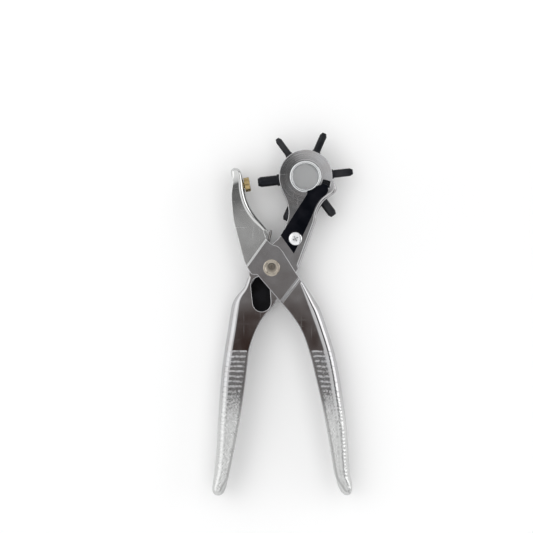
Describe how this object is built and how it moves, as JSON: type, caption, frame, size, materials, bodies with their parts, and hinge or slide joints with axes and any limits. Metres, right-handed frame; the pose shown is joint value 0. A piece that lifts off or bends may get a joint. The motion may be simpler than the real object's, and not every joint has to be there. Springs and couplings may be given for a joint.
{
  "type": "rotary hole punch",
  "caption": "Hand-held rotary punch for leather: two pressed steel levers on a rivet, a turning wheel of punch tubes with an index spring, and a brass anvil pad.",
  "frame": {"origin": "centre of the rear rivet face on the pivot axis, in the plane that the tool rests on", "axes": "+Z along the pivot axis towards the front, +Y towards the jaws, +X towards the punch wheel"},
  "size_m": [0.0915, 0.2367, 0.0229],
  "materials": {
    "chrome_sheet": "bright chrome over pressed steel, lightly scratched",
    "eyelet": "bright nickel",
    "nickel": "warm nickel, satin",
    "zinc": "bright zinc",
    "black_oxide": "black oxide",
    "blued_spring": "blued spring steel",
    "plain_steel": "plain steel, oiled",
    "brass": "turned brass"
  },
  "bodies": {
    "anvil_side": {"anvil_lever": "chrome_sheet", "anvil_pad": "brass", "pivot_rivet": "nickel", "pivot_washer": "zinc", "return_spring": "plain_steel"},
    "punch_side": {"punch_lever": "chrome_sheet", "pivot_bush": "plain_steel", "wheel_axle": "eyelet", "index_spring": "blued_spring", "index_spring_screw": "zinc", "index_spring_nut": "zinc"},
    "wheel": {"wheel_hub": "black_oxide", "punch_tube_2_0": "black_oxide", "punch_tube_2_5": "black_oxide", "punch_tube_3_0": "black_oxide", "punch_tube_3_5": "black_oxide", "punch_tube_4_0": "black_oxide", "punch_tube_4_5": "black_oxide"}
  },
  "joints": [
    {"name": "jaw_pivot", "type": "hinge", "parent": "anvil_side", "child": "punch_side", "pos_m": [0, 0, 0.0119], "axis": [0, 0, 1], "range_deg": [0, 5], "stiffness_Nm_per_rad": 4, "deforming": ["return_spring"]},
    {"name": "wheel_spin", "type": "hinge", "parent": "punch_side", "child": "wheel", "pos_m": [0.0221, 0.0593, 0.0119], "axis": [0, 0, 1], "continuous": true, "deforming": ["index_spring"]}
  ]
}
